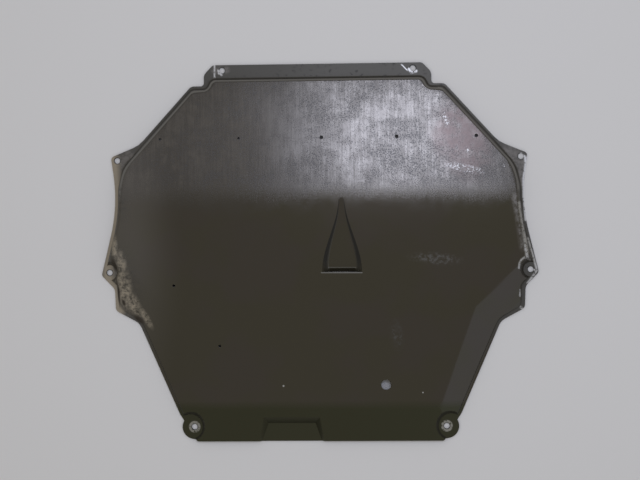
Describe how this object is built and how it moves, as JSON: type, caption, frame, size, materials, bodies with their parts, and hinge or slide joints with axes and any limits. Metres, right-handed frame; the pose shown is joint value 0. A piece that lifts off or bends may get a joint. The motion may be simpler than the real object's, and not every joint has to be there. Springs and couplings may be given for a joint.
{
  "type": "engine splash shield",
  "caption": "Pressed metal undertray for a car engine bay, with a stepped edge, bolt tabs, an air duct and drain holes.",
  "frame": {"origin": "middle of the part's plan, on the plane of the bolt flanges' undersides", "axes": "+Z towards the road, which is up as the part lies; +Y towards the front edge; +X to the right as seen from the road"},
  "size_m": [0.7876, 0.68, 0.018],
  "materials": {
    "pressed_sheet": "bare pressed sheet, darkened by road film, with fine pits, scuffs and bright rings at the bolt holes"
  },
  "bodies": {
    "root": {"shield_panel": "pressed_sheet"}
  },
  "joints": []
}
